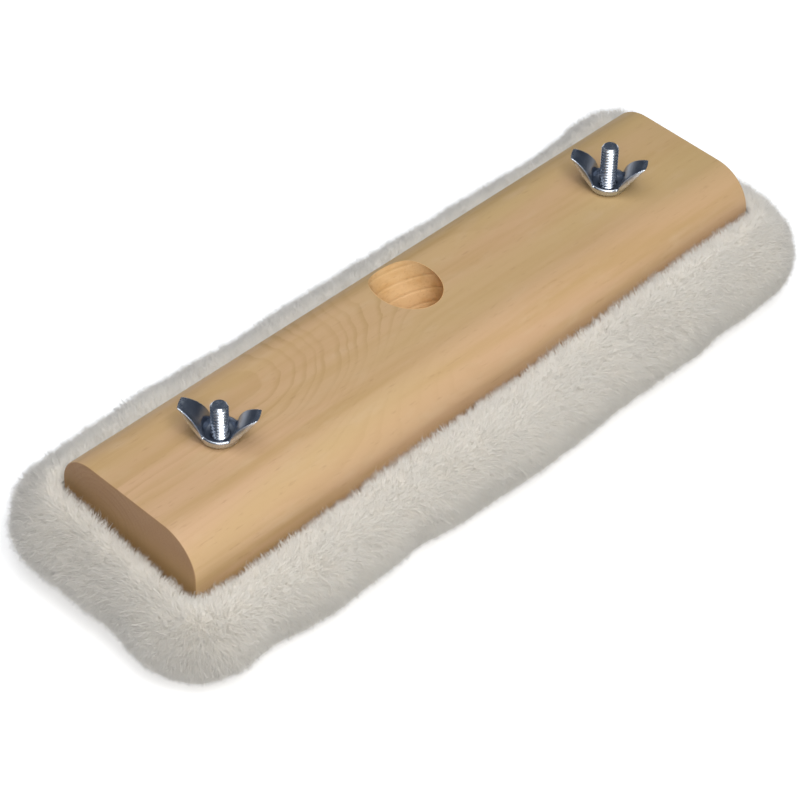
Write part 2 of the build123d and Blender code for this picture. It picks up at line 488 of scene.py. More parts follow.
def zinc_material():
    made, tree, shader = material("zinc_plate")
    cloud = noise(tree, stretched(tree, (420, 420, 420)), detail=4, roughness=0.65)
    grit = noise(tree, stretched(tree, (2600, 2600, 2600)), detail=3, roughness=0.6)
    painted_shade_share = nut_painted_shade_mask(tree)
    colour = mix_colour(tree, spread_out(tree, cloud, 0.3, 0.7), ZINC_DULL, ZINC_BRIGHT)
    # painted shade and dark reflection: the zinc is darkened inside each nut's hub and on its wings'
    # inner faces
    colour = mix_colour(tree, maths(tree, "MULTIPLY", painted_shade_share, 0.75), colour, ZINC_PAINTED_SHADE)
    tree.links.new(colour, shader.inputs["Base Color"])
    shader.inputs["Metallic"].default_value = 1.0
    rough = spread_out(tree, cloud, 0.3, 0.75, 0.2, 0.32)
    rough = maths(tree, "MULTIPLY_ADD", painted_shade_share, 0.1, rough)
    tree.links.new(rough, shader.inputs["Roughness"])
    height = maths(tree, "MULTIPLY_ADD", cloud, 1.6, grit)
    bump(tree, shader, height, 0.02 * MM, 0.7)
    return made


def brass_material():
    made, tree, shader = material("eyelet_brass")
    cloud = noise(tree, stretched(tree, (700, 700, 700)), detail=4, roughness=0.6)
    colour = mix_colour(tree, spread_out(tree, cloud, 0.35, 0.7), BRASS, BRASS_DULL)
    tree.links.new(colour, shader.inputs["Base Color"])
    shader.inputs["Metallic"].default_value = 1.0
    tree.links.new(spread_out(tree, cloud, 0.3, 0.8, 0.22, 0.42), shader.inputs["Roughness"])
    bump(tree, shader, cloud, 0.04 * MM)
    return made


def woven_material(name, light, dark, spacing):
    """Plain woven cloth with its threads spacing metres apart."""
    made, tree, shader = material(name)
    x, y, _ = split(tree, object_place(tree))
    fuzz = noise(tree, stretched(tree, (900, 900, 900)), detail=3, roughness=0.7)
    along = maths(tree, "MULTIPLY", x, pi / spacing)
    across = maths(tree, "MULTIPLY", y, pi / spacing)
    over = maths(tree, "MULTIPLY", maths(tree, "SINE", along), maths(tree, "SINE", across))
    gap = maths(
        tree,
        "MULTIPLY",
        maths(tree, "ABSOLUTE", maths(tree, "COSINE", along)),
        maths(tree, "ABSOLUTE", maths(tree, "COSINE", across)),
    )
    thread = spread_out(tree, gap, 0.3, 0.95)
    slub = noise(tree, stretched(tree, (30, 600, 400)), detail=2)
    colour = mix_colour(tree, spread_out(tree, slub, 0.35, 0.7), light, dark)
    deep = tuple(0.45 * c for c in dark)
    colour = mix_colour(tree, maths(tree, "MULTIPLY", thread, 0.8), colour, deep)
    colour = mix_colour(tree, spread_out(tree, fuzz, 0.55, 0.8, 0, 0.3), colour, light)
    tree.links.new(colour, shader.inputs["Base Color"])
    shader.inputs["Roughness"].default_value = 0.92
    shader.inputs["Sheen Weight"].default_value = 0.2
    height = maths(tree, "MULTIPLY_ADD", over, 0.35, maths(tree, "MULTIPLY", thread, -0.8))
    height = maths(tree, "MULTIPLY_ADD", fuzz, 0.3, height)
    bump(tree, shader, height, 0.18 * MM)
    return made


def board_material():
    made, tree, shader = material("hardboard_fibre")
    fibre = noise(tree, stretched(tree, (500, 900, 700)), detail=5, roughness=0.7, distortion=0.6)
    cloud = noise(tree, stretched(tree, (60, 60, 60)), detail=2)
    colour = mix_colour(tree, spread_out(tree, fibre, 0.35, 0.7), BOARD_DARK, BOARD_LIGHT)
    colour = mix_colour(tree, spread_out(tree, cloud, 0.4, 0.7, 0, 0.4), colour, BOARD_CLOUD)
    tree.links.new(colour, shader.inputs["Base Color"])
    shader.inputs["Roughness"].default_value = 0.62
    bump(tree, shader, fibre, 0.08 * MM)
    return made


def felt_material():
    made, tree, shader = material("felt_fibre")
    fibre = noise(tree, stretched(tree, (700, 700, 350)), detail=5, roughness=0.75, distortion=1.2)
    cloud = noise(tree, stretched(tree, (50, 50, 90)), detail=3)
    colour = mix_colour(tree, spread_out(tree, fibre, 0.35, 0.65), FELT_DARK, FELT_LIGHT)
    colour = mix_colour(tree, spread_out(tree, cloud, 0.4, 0.7, 0, 0.35), colour, FELT_CLOUD)
    tree.links.new(colour, shader.inputs["Base Color"])
    shader.inputs["Roughness"].default_value = 0.95
    shader.inputs["Sheen Weight"].default_value = 0.3
    bump(tree, shader, fibre, 0.35 * MM)
    return made


def fleece_material():
    made, tree, shader = material("lambswool_base")
    curl = noise(tree, stretched(tree, (420, 420, 420)), detail=4, roughness=0.65, distortion=1.0)
    lock = noise(tree, stretched(tree, (110, 110, 110)), detail=2)
    deep = tuple(WOOL_DARKEST * c for c in WOOL)
    colour = mix_colour(tree, spread_out(tree, curl, 0.3, 0.65), deep, WOOL)
    colour = mix_colour(tree, spread_out(tree, lock, 0.4, 0.7, 0, 0.35), colour, WOOL_YELLOWED)
    tree.links.new(colour, shader.inputs["Base Color"])
    shader.inputs["Roughness"].default_value = 0.95
    shader.inputs["Sheen Weight"].default_value = 0.25
    bump(tree, shader, curl, 0.7 * MM)
    return made


def pile_material(index, tone):
    """The fibres of one tone. Their gloss varies along them."""
    made, tree, shader = material(f"lambswool_pile_{index}")
    shader.inputs["Base Color"].default_value = (*tone, 1.0)
    shader.inputs["Roughness"].default_value = 0.85
    crimp = noise(tree, stretched(tree, (600, 600, 600), (index, 0, 0)), detail=3, roughness=0.6)
    tree.links.new(spread_out(tree, crimp, 0.3, 0.7, 0.35, 0.1), shader.inputs["Specular IOR Level"])
    shader.inputs["Sheen Weight"].default_value = 0.3
    shader.inputs["Sheen Roughness"].default_value = 0.6
    return made


def add_object(name, mesh, surface, body):
    """A shown piece that rides on a body."""
    made = bpy.data.objects.new(name, mesh)
    bpy.context.scene.collection.objects.link(made)
    mesh.materials.clear()
    mesh.materials.append(surface)
    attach(made, body)
    return made


def polygon_mesh(name, points, faces, sharp=None):
    """A mesh with its faces turned outwards. It is smooth, with edges over sharp degrees kept."""
    mesh = bpy.data.meshes.new(name)
    mesh.from_pydata([tuple(p) for p in points], [], [tuple(f) for f in faces])
    work = bmesh.new()
    work.from_mesh(mesh)
    bmesh.ops.recalc_face_normals(work, faces=work.faces)
    work.to_mesh(mesh)
    work.free()
    soften(mesh, sharp)
    return mesh


def soften(mesh, sharp):
    """Smooth shading, with edges over sharp degrees kept."""
    mesh.shade_smooth()
    if sharp:
        mesh.set_sharp_from_angle(angle=radians(sharp))


def skin(rings, capped=True):
    """Points and faces of a skin over rings that all have the same number of points."""
    rings = np.asarray(rings, float)
    rows, around = rings.shape[:2]
    faces = []
    for row, step in product(range(rows - 1), range(around)):
        a = row * around + step
        b = row * around + (step + 1) % around
        faces.append((a, b, b + around, a + around))
    if capped:
        faces.append(tuple(range(around))[::-1])
        faces.append(tuple(range((rows - 1) * around, rows * around)))
    return rings.reshape(-1, 3), faces


def closed_skin(rings):
    """A skin over rings whose last joins the first, as on a frame or a rolled rim."""
    rings = np.asarray(rings, float)
    rows, around = rings.shape[:2]
    faces = []
    for row, step in product(range(rows), range(around)):
        a, b = row * around + step, row * around + (step + 1) % around
        c = (row + 1) % rows * around
        faces.append((a, b, c + (step + 1) % around, c + step))
    return rings.reshape(-1, 3), faces


def join(*parts):
    """Several sets of points and faces as one."""
    points, faces, start = [], [], 0
    for some, those in parts:
        points.append(np.asarray(some, float))
        faces += [tuple(start + i for i in f) for f in those]
        start += len(some)
    return np.concatenate(points), faces


def turned(profile, centre, steps):
    """Rings about a vertical axis from a profile of (radius, height)."""
    angle = np.arange(steps) * 2 * pi / steps
    return [
        np.stack(
            [centre[0] + r * np.cos(angle), centre[1] + r * np.sin(angle), np.full(steps, z)], axis=1
        )
        for r, z in profile
    ]


def screw(radius, origin, axis, side, low, high, pitch, steps, per_turn):
    """Rings of a threaded surface. radius(phase, height, angle) gives its radius."""
    axis, side = Vector(axis).normalized(), Vector(side).normalized()
    other = axis.cross(side)
    angle = np.arange(steps) * 2 * pi / steps
    rows = int((high - low) / pitch * per_turn) + 1
    rings = []
    for height in np.linspace(low, high, rows):
        reach = radius((height / pitch - angle / (2 * pi)) % 1.0, height, angle)
        rings.append(
            np.array(origin)
            + height * np.array(axis)
            + (reach * np.cos(angle))[:, None] * np.array(side)
            + (reach * np.sin(angle))[:, None] * np.array(other)
        )
    return rings


def baked(made):
    """The object's mesh with its modifiers applied."""
    graph = bpy.context.evaluated_depsgraph_get()
    mesh = bpy.data.meshes.new_from_object(made.evaluated_get(graph))
    made.modifiers.clear()
    made.data = mesh
    return mesh


def cut(made, cutters):
    """Takes the cutters' shapes away from an object, and removes them."""
    for index, (points, faces) in enumerate(cutters):
        tool = bpy.data.objects.new("cutter", polygon_mesh("cutter", points, faces))
        bpy.context.scene.collection.objects.link(tool)
        step = made.modifiers.new(f"cut_{index}", "BOOLEAN")
        step.operation = "DIFFERENCE"
        step.solver = "EXACT"
        step.object = tool
        baked(made)
        bpy.data.objects.remove(tool)
    return made.data


def fan(half_x, half_y, corner_steps, spacing):
    """Points round a rectangle and the directions out of them, which turn at its corners."""
    places, ways = [], []
    corners = [(half_x, -half_y), (half_x, half_y), (-half_x, half_y), (-half_x, -half_y)]
    for index, start in enumerate(corners):
        stop = corners[(index + 1) % len(corners)]
        way = index * pi / 2
        steps = max(2, round(abs(stop[0] - start[0] + stop[1] - start[1]) / spacing))
        for share in np.linspace(0, 1, steps, endpoint=False):
            places.append([a + share * (b - a) for a, b in zip(start, stop)])
            ways.append((cos(way), sin(way)))
        for share in np.linspace(0, 1, corner_steps, endpoint=False):
            places.append(stop)
            ways.append((cos(way + share * pi / 2), sin(way + share * pi / 2)))
    return np.array(places), np.array(ways)


def fan_ring(places, ways, reach, height):
    """A ring of points at a distance out from a fan's rectangle."""
    flat = places + reach * ways
    return np.column_stack([flat, np.full(len(flat), height)])


def cell_noise(points, cell, seed):
    """Smooth noise from -1 to 1 with features about one cell across."""
    lattice = np.random.default_rng(seed).uniform(-1, 1, (32, 32, 32))
    place = points / cell
    base = np.floor(place).astype(int)
    share = place - base
    share = share * share * (3 - 2 * share)
    total = np.zeros(len(points))
    for corner in product((0, 1), repeat=3):
        weight = np.prod(np.where(corner, share, 1 - share), axis=1)
        index = (base + corner) % len(lattice)
        total += weight * lattice[index[:, 0], index[:, 1], index[:, 2]]
    return total


def unit(vectors):
    """Vectors of length one."""
    return vectors / np.maximum(np.linalg.norm(vectors, axis=1, keepdims=True), 1e-9)


def make_block(surface):
    low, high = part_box("wood_block")
    arcs = [
        ((low.y + ARRIS_RADIUS, low.z + ARRIS_RADIUS), ARRIS_RADIUS, pi, ARRIS_STEPS),
        ((high.y - ARRIS_RADIUS, low.z + ARRIS_RADIUS), ARRIS_RADIUS, 1.5 * pi, ARRIS_STEPS),
        ((high.y - EDGE_RADIUS, high.z - EDGE_RADIUS), EDGE_RADIUS, 0.0, EDGE_STEPS),
        ((low.y + EDGE_RADIUS, high.z - EDGE_RADIUS), EDGE_RADIUS, 0.5 * pi, EDGE_STEPS),
    ]

    def section(x, inset):
        """The block's outline across its length, drawn in by an inset."""
        ring = []
        for (y, z), radius, start, steps in arcs:
            for angle in np.linspace(start, start + pi / 2, steps + 1):
                ring.append((x, y + (radius - inset) * cos(angle), z + (radius - inset) * sin(angle)))
        return ring

    turn = np.linspace(0, pi / 2, END_ARRIS_STEPS + 1)
    eased = [(END_ARRIS * (1 - sin(a)), END_ARRIS * (1 - cos(a))) for a in turn]
    rings = [section(low.x + along, inset) for inset, along in eased]
    rings += [section(high.x - along, inset) for inset, along in reversed(eased)]
    points, faces = skin(rings)
    made = bpy.data.objects.new("block_draft", polygon_mesh("block_draft", points, faces))
    bpy.context.scene.collection.objects.link(made)

    mount = socket_mount()
    bore = mount["dims"]["r_mm"] * MM

    def socket(phase, height, angle):
        """The socket's radius, with a groove for the handle's thread that fades out at the lip."""
        near = np.clip(np.abs(phase - SOCKET_START) / SOCKET_GROOVE_SHARE * 2, 0, 1)
        groove = (1 + np.cos(pi * near)) / 2
        below = bore * np.sin(angle) * mount["axis"][1] - height * mount["axis"][2]
        return bore + SOCKET_GROOVE * groove * np.clip(below / SOCKET_FADE, 0, 1)

    cutters = [
        skin(
            screw(
                socket,
                mount["pos_m"],
                mount["axis"],
                (1, 0, 0),
                -SOCKET_DEPTH,
                SOCKET_ABOVE,
                SOCKET_PITCH,
                SOCKET_STEPS,
                SOCKET_ROWS_PER_TURN,
            )
        )
    ]
    for name in ENDS:
        centre = sum(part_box(f"carriage_bolt_{name}"), Vector()) / 2
        profile = [(BOLT_HOLE_RADIUS, low.z - MM), (BOLT_HOLE_RADIUS, high.z + MM)]
        cutters.append(skin(turned(profile, centre, BOLT_HOLE_STEPS)))
    mesh = cut(made, cutters)
    bpy.data.objects.remove(made)
    soften(mesh, 28)
    made = add_object("hardwood_block", mesh, surface, "block")
    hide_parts("wood_block")


def make_bolt(name, surface):
    low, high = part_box(f"carriage_bolt_{name}")
    centre = (low + high) / 2
    under = low.z + HEAD_HEIGHT
    dome = (HEAD_RADIUS**2 + HEAD_HEIGHT**2) / (2 * HEAD_HEIGHT)
    top = low.z + dome
    head = [(HEAD_POLE, low.z)]
    for share in np.linspace(0.05, 1, HEAD_ROWS):
        reach = share * HEAD_RADIUS
        head.append((reach, top - sqrt(dome**2 - reach**2)))
    head.append((HEAD_RADIUS - HEAD_EDGE, under))
    neck = []
    for height, half in (
        (under - MM, NECK_WIDTH / 2),
        (under + NECK_LENGTH - NECK_EDGE, NECK_WIDTH / 2),
        (under + NECK_LENGTH, NECK_WIDTH / 2 - NECK_EDGE),
    ):
        corners = [(half, half), (-half, half), (-half, -half), (half, -half)]
        neck.append([(centre.x + x, centre.y + y, height) for x, y in corners])

    start = under + NECK_LENGTH + MM

    def thread(phase, height, _):
        """The stud's radius: plain above the neck, then threaded, with a chamfered tip."""
        flank = 1 - np.abs(2 * phase - 1)
        reach = BOLT_RADIUS - THREAD_DEPTH * np.clip(1.28 * (1 - flank) - 0.12, 0, 1)
        reach = np.where(height < start, BOLT_RADIUS, reach)
        return np.minimum(reach, BOLT_RADIUS + (high.z - height) - TIP_CHAMFER)

    shank = screw(
        thread,
        (centre.x, centre.y, 0),
        (0, 0, 1),
        (1, 0, 0),
        under,
        high.z,
        THREAD_PITCH,
        THREAD_STEPS,
        THREAD_ROWS_PER_TURN,
    )
    points, faces = join(skin(turned(head, centre, HEAD_STEPS)), skin(neck), skin(shank))
    mesh = polygon_mesh(f"stud_{name}", points, faces, 35)
    made = add_object(f"threaded_stud_{name}", mesh, surface, "pad")
    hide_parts(f"carriage_bolt_{name}")


def make_nut(name, surface):
    source = frame["nodes"][f"wing_nut_{name}"]
    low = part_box(f"wing_nut_{name}")[0]
    centre = sum(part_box(f"carriage_bolt_{name}"), Vector()) / 2
    made = bpy.data.objects.new("nut_draft", source.data.copy())
    bpy.context.scene.collection.objects.link(made)
    remesh = made.modifiers.new("remesh", "REMESH")
    remesh.mode = "VOXEL"
    remesh.voxel_size = NUT_VOXEL
    smooth = made.modifiers.new("smooth", "SMOOTH")
    smooth.factor = 0.5
    smooth.iterations = NUT_SMOOTHING
    baked(made)

    def thread(phase, *_):
        """The radius of the nut's thread."""
        flank = 1 - np.abs(2 * phase - 1)
        return NUT_BORE_RADIUS + NUT_THREAD_GAP + NUT_THREAD_DEPTH * np.clip(1.3 * flank - 0.3, 0, 1)

    cutter = screw(
        thread,
        (centre.x, centre.y, 0),
        (0, 0, 1),
        (1, 0, 0),
        low.z - NUT_THREAD_BELOW,
        low.z + NUT_THREAD_ABOVE,
        THREAD_PITCH,
        THREAD_STEPS,
        NUT_THREAD_ROWS_PER_TURN,
    )
    mesh = cut(made, [skin(cutter)])
    bpy.data.objects.remove(made)
    soften(mesh, 60)
    made = add_object(f"forged_wing_nut_{name}", mesh, surface, f"nut_{name}")
    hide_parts(f"wing_nut_{name}")


def scatter(points, faces, weights, normals, count, rng):
    """Random places on four-sided faces, with their normals."""
    corners = points[faces]
    area = np.linalg.norm(
        np.cross(corners[:, 2] - corners[:, 0], corners[:, 3] - corners[:, 1]), axis=1
    )
    share = area * weights
    chosen = rng.choice(len(faces), count, p=share / share.sum())
    u, v = rng.random((2, count, 1))
    weight = [(1 - u) * (1 - v), u * (1 - v), u * v, (1 - u) * v]
    place = sum(w * corners[chosen, i] for i, w in enumerate(weight))
    normal = sum(w * normals[faces[chosen, i]] for i, w in enumerate(weight))
    return place, unit(normal)


def fibre_skin(path, width):
    """Points, corners and face sizes of tapered fibres along paths of shape (fibres, stations, 3)."""
    count, stations = path.shape[:2]
    along = unit(path[:, -1] - path[:, 0])
    helper = np.where(np.abs(along[:, 2:]) > 0.8, (1.0, 0, 0), (0, 0, 1.0))
    first = unit(np.cross(along, helper))
    second = np.cross(along, first)
    rings = []
    for station in range(stations - 1):
        reach = (width / 2 * (1 - PILE_TAPER * station / (stations - 1)))[:, None]
        for side in range(3):
            angle = side * 2 * pi / 3
            rings.append(path[:, station] + reach * (cos(angle) * first + sin(angle) * second))
    rings.append(path[:, -1])
    points = np.stack(rings, axis=1).reshape(-1, 3)
    each = 3 * (stations - 1) + 1
    one, sizes = [], []
    for station, side in product(range(stations - 2), range(3)):
        a, b = 3 * station + side, 3 * station + (side + 1) % 3
        one += [a, b, b + 3, a + 3]
        sizes.append(4)
    last = 3 * (stations - 2)
    for side in range(3):
        one += [last + side, last + (side + 1) % 3, each - 1]
        sizes.append(3)
    corners = ((np.arange(count) * each)[:, None] + np.array(one)).ravel()
    return points, corners, np.tile(sizes, count)


def fibre_mesh(name, *skins):
    """One mesh of several fibre skins."""
    points = np.concatenate([some for some, _, _ in skins])
    starts = np.cumsum([0] + [len(some) for some, _, _ in skins])
    corners = np.concatenate([start + those for start, (_, those, _) in zip(starts, skins)])
    sizes = np.concatenate([those for _, _, those in skins])
    mesh = bpy.data.meshes.new(name)
    mesh.vertices.add(len(points))
    mesh.vertices.foreach_set("co", points.ravel())
    mesh.loops.add(len(corners))
    mesh.loops.foreach_set("vertex_index", corners)
    mesh.polygons.add(len(sizes))
    mesh.polygons.foreach_set("loop_start", np.concatenate([[0], np.cumsum(sizes)[:-1]]))
    mesh.update(calc_edges=True)
    mesh.shade_smooth()
    return mesh


def bulge(along, across, side, end):
    """How far the fleece's side swells outwards in millimetres, which gives its uneven outline."""
    back = -2.6 * along * (1 - along**4)
    front = 3.0 * np.exp(-(((along - 0.15) / 0.45) ** 2))
    near_end = 1.6 * np.clip(-end, 0, 1) * np.clip(0.6 - across, 0, 1)
    return np.where(side > 0, back, front) * np.abs(side) - near_end


def collar(along, across):
    """How far the fleece stands up round the block in millimetres, most at the far end."""
    rise = 5.2 + 2.6 * along - 1.4 * across * along + 0.8 * across + along**2
    return np.clip(rise, 0, PILE_RISE_MOST)


def mesh_normals(mesh):
    """The normal at each point of a mesh."""
    normals = np.zeros(len(mesh.vertices) * 3)
    mesh.vertices.foreach_get("normal", normals)
    return normals.reshape(-1, 3)


def make_fleece(surface):
    """The lumpy body of the fleece and the places its fibres grow from."""
    places, ways = fan(FAN_HALF_X, FAN_HALF_Y, FLEECE_CORNER_STEPS, FLEECE_SPACING)
    profile = [(r * MM, z * MM) for r, z in FLEECE_PROFILE]
    fine = [profile[i] for i in range(POCKET_ROWS)]
    for (r0, z0), (r1, z1) in zip(profile[POCKET_ROWS:], profile[POCKET_ROWS + 1 :]):
        fine += [(r0, z0), ((r0 + r1) / 2, (z0 + z1) / 2)]
    fine.append(profile[-1])
    rings = np.array([fan_ring(places, ways, r, z) for r, z in fine])
    points, faces = skin(rings)
    mesh = polygon_mesh("fleece_body", points, faces)
    in_pocket = POCKET_ROWS * len(places)
    lump = sum(size * cell_noise(points, cell, seed) for (size, cell), seed in LUMPS)
    reach = np.repeat([r for r, _ in fine], len(places))
    free = np.clip((reach - LUMPS_START) / LUMPS_RANGE, 0, 1)
    free[:in_pocket] = 0
    points = points + mesh_normals(mesh) * (lump * free)[:, None]
    side, end = np.tile(ways[:, 1], len(fine)), np.tile(ways[:, 0], len(fine))
    along, across = points[:, 0] / FAN_HALF_X, points[:, 1] / FAN_HALF_Y
    push = bulge(along, across, side, end) * MM * free
    points[:, :2] += np.tile(ways, (len(fine), 1)) * push[:, None]
    near_block = 1 - np.clip((reach - COLLAR_START) / COLLAR_RANGE, 0, 1)
    near_block[:in_pocket] = 0
    points[:, 2] += collar(along, across) * MM * near_block**1.5
    points[:, 2] = np.maximum(points[:, 2], LOWEST_BODY)
    mesh.vertices.foreach_set("co", points.ravel())
    mesh.update()
    made = add_object("fleece_body", mesh, surface, "pad")
    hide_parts("fleece_cover")
    quads = np.array(faces[:-2])
    rows = np.arange(len(quads)) // len(places)
    weights = (rows >= POCKET_ROWS).astype(float)
    return points, quads, weights, mesh_normals(mesh)


def nearest(root, seeds):
    """For each root, the index of the seed that it is nearest to."""
    tree = KDTree(len(seeds))
    for index, seed in enumerate(seeds):
        tree.insert(root[seed], index)
    tree.balance()
    return np.array([tree.find(place)[1] for place in root])


def off_block(path):
    """Fibre paths moved out of the wood block and up from the floor."""
    low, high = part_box("wood_block")
    inside_x = high.x + BLOCK_CLEARANCE - np.abs(path[..., 0])
    inside_y = high.y + BLOCK_CLEARANCE - np.abs(path[..., 1])
    inside = (inside_x > 0) & (inside_y > 0) & (path[..., 2] > low.z - MM)
    by_x = inside & (inside_x < inside_y)
    by_y = inside & ~by_x
    path[..., 0] += np.where(by_x, np.sign(path[..., 0]) * inside_x, 0)
    path[..., 1] += np.where(by_y, np.sign(path[..., 1]) * inside_y, 0)
    path[..., 2] = np.maximum(path[..., 2], LOWEST_FIBRE)
    return path


def shared_out(level, fuzz):
    """The tone of each fibre. Every tone has an even share of the long fibres and of the fuzz."""
    tone = np.zeros(len(level), int)
    for group in (fuzz, ~fuzz):
        order = np.argsort(np.argsort(level[group]))
        tone[group] = order * PILE_TONES // len(order)
    return tone


def make_pile(points, quads, weights, normals):
    """Long crimped wool fibres drawn together in locks, over shorter straight ones, in a few tones."""
    rng = np.random.default_rng(41)
    root, normal = scatter(points, quads, weights, normals, PILE_COUNT + FUZZ_COUNT, rng)
    under = np.column_stack(
        [
            rng.uniform(-FAN_HALF_X, FAN_HALF_X, UNDER_COUNT),
            rng.uniform(-FAN_HALF_Y, FAN_HALF_Y, UNDER_COUNT),
            np.full(UNDER_COUNT, SOLE_HEIGHT),
        ]
    )
    root = np.concatenate([root, under])
    normal = np.concatenate([normal, np.tile((0.0, 0.0, -1.0), (UNDER_COUNT, 1))])
    count = len(root)
    fuzz = np.zeros(count, bool)
    fuzz[PILE_COUNT : PILE_COUNT + FUZZ_COUNT] = True
    seeds = rng.choice(count, LOCK_COUNT, replace=False)
    lock = nearest(root, seeds)

    lean = unit(rng.normal(size=(LOCK_COUNT, 3)))
    lock_length = rng.uniform(0.85, 1.12, LOCK_COUNT)
    way = unit(normal + LOCK_LEAN * lean[lock] + FIBRE_LEAN * rng.normal(size=(count, 3)))
    swell, swell_size = PILE_SWELL
    facing_down = np.clip((0.35 - normal[:, 2]) / 0.9, 0, 1)
    reach = (1 + swell * cell_noise(root, swell_size, 9)) * (1 - SIDE_SHORTENING * facing_down)
    length = PILE_LENGTH * reach * lock_length[lock] * rng.uniform(0.75, 1.1, count)
    length *= np.where(fuzz, rng.uniform(0.6, 0.95, count), 1.0)
    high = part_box("wood_block")[1]
    gap = np.maximum(np.abs(root[:, 0]) - high.x, np.abs(root[:, 1]) - high.y)
    length *= NEAR_BLOCK_LENGTH + (1 - NEAR_BLOCK_LENGTH) * np.clip(gap / NEAR_BLOCK, 0, 1)
    tip = root + way * length[:, None]
    lock_reach = PILE_LENGTH * reach[seeds] * lock_length
    lock_tip = root[seeds] + unit(normal[seeds] + LOCK_LEAN * lean) * lock_reach[:, None]
    pull = rng.uniform(*LOCK_PULL, (count, 1)) * np.where(fuzz, FUZZ_PULL, 1.0)[:, None]
    tip = tip + pull * (lock_tip[lock] - tip)
    tip[:, 2] -= PILE_DROOP * length

    bow = rng.normal(size=(count, 3)) * PILE_BOW
    curl = rng.normal(size=(count, 3)) * PILE_CURL
    phase = rng.uniform(0, 2 * pi, count)
    stations = []
    for share in (0.0, 0.5, 1.0):
        wave = (np.sin(phase + CURL_TURN * share) * share)[:, None]
        offset = length[:, None] * (4 * share * (1 - share) * bow + wave * curl)
        stations.append(root + share * (tip - root) + offset)
    path = off_block(np.stack(stations, axis=1))

    width = PILE_WIDTH * rng.uniform(0.7, 1.25, count)
    level = 0.965 + 0.05 * rng.random(LOCK_COUNT)[lock] + 0.02 * rng.random(count)
    # painted shade: fibres facing down on the lower sides get darker tones, most on the -Y side
    level -= SIDE_SHADE * facing_down * (0.3 + 0.7 * np.clip(-normal[:, 1], 0, 1))
    tone = shared_out(level, fuzz)
    for index in range(PILE_TONES):
        long, short = (tone == index) & ~fuzz, (tone == index) & fuzz
        shown = level[tone == index].mean()
        warm = 1 + 0.01 * sin(index * 2.1)
        colour = (shown * warm * WOOL[0], shown * WOOL[1], shown / warm * WOOL[2])
        mesh = fibre_mesh(
            f"pile_{index}",
            fibre_skin(path[long], width[long]),
            fibre_skin(path[short][:, ::2], width[short]),
        )
        add_object(f"fleece_pile_{index}", mesh, pile_material(index, colour), "pad")


def make_felt(surface):
    low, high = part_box("felt_core")
    places, ways = fan(high.x - INNER_CORNER, high.y - INNER_CORNER, 8, 3 * MM)
    thick = high.z - low.z
    rings = [fan_ring(places, ways, r * MM, low.z + share * thick) for r, share in FELT_PROFILE]
    points, faces = skin(rings)
    points[:, :2] *= 1 - 0.0015 * (1 + cell_noise(points, 9 * MM, 21))[:, None]
    made = add_object("felt_pad", polygon_mesh("felt_pad", points, faces), surface, "pad")
    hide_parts("felt_core")


def make_canvas(surface, holes):
    """The canvas under the block, with an opening at each eyelet."""
    low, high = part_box("top_cloth")
    xs = np.linspace(low.x, high.x, round((high.x - low.x) / CANVAS_SPACING) + 1)
    ys = np.linspace(low.y, high.y, round((high.y - low.y) / CANVAS_SPACING) + 1)
    grid = np.array([(x, y, high.z) for y in ys for x in xs])
    grid[:, 2] -= CANVAS_SAG * (1 + cell_noise(grid, 14 * MM, 31)) / 2
    wide = len(xs)
    faces = []
    for row, step in product(range(len(ys) - 1), range(wide - 1)):
        a = row * wide + step
        x, y = grid[a, 0] + CANVAS_SPACING / 2, grid[a, 1] + CANVAS_SPACING / 2
        open_here = any((x - h.x) ** 2 + (y - h.y) ** 2 < EYELET_OPENING**2 for h in holes)
        corner_x, corner_y = abs(x) - (high.x - INNER_CORNER), abs(y) - (high.y - INNER_CORNER)
        outside = corner_x > 0 and corner_y > 0 and corner_x**2 + corner_y**2 > INNER_CORNER**2
        if not open_here and not outside:
            faces.append((a, a + 1, a + wide + 1, a + wide))
    mesh = polygon_mesh("canvas", grid, faces)
    cloth = add_object("canvas_top", mesh, surface, "pad")
    thicken = cloth.modifiers.new("thickness", "SOLIDIFY")
    thicken.thickness = CANVAS_THICKNESS
    thicken.offset = -1
    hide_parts("top_cloth")
    return cloth


def make_binding(surface):
    """The tape round the canvas."""
    low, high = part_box("edge_binding")
    places, ways = fan(high.x - INNER_CORNER, high.y - INNER_CORNER, 10, 2 * MM)
    rings = [fan_ring(places, ways, r * MM, low.z + z * MM) for r, z in BINDING_PROFILE]
    mesh = polygon_mesh("binding", *closed_skin(rings), 60)
    binding = add_object("tape_binding", mesh, surface, "pad")
    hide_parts("edge_binding")
    return binding


def stitch(place, along, height):
    """One stitch, thin at both ends and bowed down into the tape there."""
    (x, y), (along_x, along_y) = place, along
    rings = []
    for share in np.linspace(-1, 1, 6):
        reach = STITCH_RADIUS * sqrt(max(0.05, 1 - share**2))
        rings.append(
            [
                (
                    x + share * STITCH_HALF * along_x + reach * cos(a) * along_y,
                    y + share * STITCH_HALF * along_y - reach * cos(a) * along_x,
                    height + reach * sin(a) - 0.1 * MM * share**2,
                )
                for a in np.arange(6) * pi / 3
            ]
        )
    return skin(rings)


def make_stitches(surface):
    """A line of stitches along the middle of the tape."""
    low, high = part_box("edge_binding")
    places, ways = fan(high.x - INNER_CORNER, high.y - INNER_CORNER, 3, STITCH_PITCH)
    line = places + STITCH_LINE * ways
    directions = np.column_stack([-ways[:, 1], ways[:, 0]])
    points, faces = join(*[stitch(at, way, low.z + MM) for at, way in zip(line, directions)])
    mesh = polygon_mesh("stitches", points, faces)
    return add_object("binding_stitches", mesh, surface, "pad")


def make_eyelet(name, centre, surface):
    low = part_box(f"eyelet_{name}")[0]
    rings = turned([(r * MM, low.z + z * MM) for r, z in EYELET_PROFILE], centre, EYELET_STEPS)
    mesh = polygon_mesh(f"eyelet_{name}", *closed_skin(rings), 70)
    eyelet = add_object(f"brass_eyelet_{name}", mesh, surface, "pad")
    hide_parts(f"eyelet_{name}")
    return eyelet


